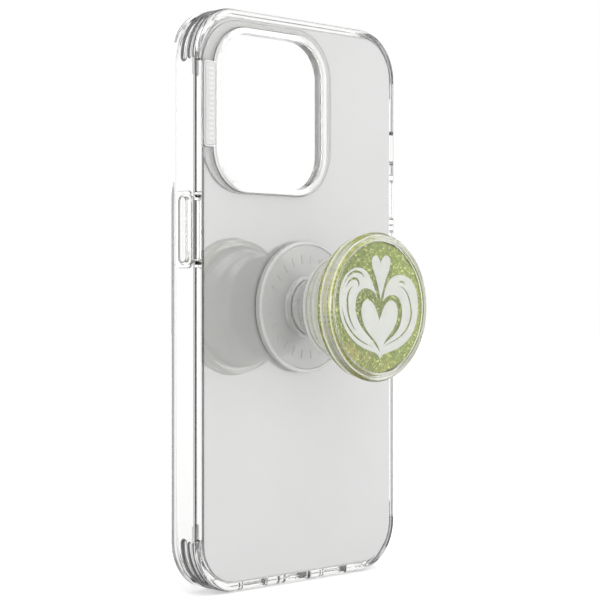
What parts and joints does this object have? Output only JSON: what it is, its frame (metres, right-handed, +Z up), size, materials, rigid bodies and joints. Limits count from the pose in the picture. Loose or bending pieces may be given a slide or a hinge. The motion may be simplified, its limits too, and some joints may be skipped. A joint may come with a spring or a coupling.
{
  "type": "phone case",
  "caption": "Clear bumper case for a flat phone with camera guard, press-through button covers and a collapsible round grip with a turn-off glitter top.",
  "frame": {"origin": "centre of the inner back face, where the phone's back rests", "axes": "+Z up the case's long side towards the camera window, -Y out of the back along the grip's axis, +Y towards the screen, +X to the right seen from the back"},
  "size_m": [0.0776, 0.0394, 0.152],
  "materials": {
    "back_panel": "clear hard plastic, glossy, slightly smoky",
    "bumper_frame": "clear flexible plastic, glossy",
    "camera_guard_ring": "clear flexible plastic, glossy",
    "badge_strip": "frosted clear plastic",
    "side_button_cap": "clear flexible plastic, glossy",
    "volume_up_cap": "clear flexible plastic, glossy",
    "volume_down_cap": "clear flexible plastic, glossy",
    "grip_adhesive_pad": "clear bonding film",
    "grip_base_platform": "clear hard plastic, glossy",
    "grip_base_hub": "clear hard plastic, glossy",
    "accordion_lower": "translucent flexible plastic, satin",
    "accordion_mid_ring": "translucent flexible plastic, satin",
    "accordion_upper": "translucent flexible plastic, satin",
    "accordion_top_ring": "translucent flexible plastic, satin",
    "socket_plate": "clear hard plastic, glossy",
    "top_backing": "clear hard plastic over a green layer",
    "top_rim": "clear hard plastic, polished",
    "glitter_disc": "green resin filled with fine glitter",
    "art_inlay": "off-white print",
    "clear_dome": "clear hard plastic, polished"
  },
  "bodies": {
    "case": {"back_panel": "back_panel", "bumper_frame": "bumper_frame", "camera_guard_ring": "camera_guard_ring", "badge_strip": "badge_strip", "grip_adhesive_pad": "grip_adhesive_pad", "grip_base_platform": "grip_base_platform", "grip_base_hub": "grip_base_hub", "accordion_lower": "accordion_lower"},
    "grip_middle": {"accordion_mid_ring": "accordion_mid_ring", "accordion_upper": "accordion_upper"},
    "grip_socket": {"accordion_top_ring": "accordion_top_ring", "socket_plate": "socket_plate"},
    "grip_top": {"top_backing": "top_backing", "top_rim": "top_rim", "glitter_disc": "glitter_disc", "art_inlay": "art_inlay", "clear_dome": "clear_dome"},
    "side_button": {"side_button_cap": "side_button_cap"},
    "volume_up_button": {"volume_up_cap": "volume_up_cap"},
    "volume_down_button": {"volume_down_cap": "volume_down_cap"}
  },
  "joints": [
    {"name": "grip_lower_slide", "type": "slide", "parent": "case", "child": "grip_middle", "axis": [0, 1, 0], "range_m": [0, 0.0109], "deforming": ["accordion_lower"]},
    {"name": "grip_upper_slide", "type": "slide", "parent": "grip_middle", "child": "grip_socket", "axis": [0, 1, 0], "range_m": [0, 0.0074], "deforming": ["accordion_upper"]},
    {"name": "top_turn", "type": "hinge", "parent": "grip_socket", "child": "grip_top", "pos_m": [0, -0.0255, -0.00185], "axis": [0, -1, 0], "range_deg": [0, 90]},
    {"name": "side_button_press", "type": "slide", "parent": "case", "child": "side_button", "axis": [1, 0, 0], "range_m": [0, 0.00035], "stiffness_N_per_m": 2000, "springref_m": -0.0003},
    {"name": "volume_up_press", "type": "slide", "parent": "case", "child": "volume_up_button", "axis": [-1, 0, 0], "range_m": [0, 0.00035], "stiffness_N_per_m": 2000, "springref_m": -0.0003},
    {"name": "volume_down_press", "type": "slide", "parent": "case", "child": "volume_down_button", "axis": [-1, 0, 0], "range_m": [0, 0.00035], "stiffness_N_per_m": 2000, "springref_m": -0.0003}
  ]
}
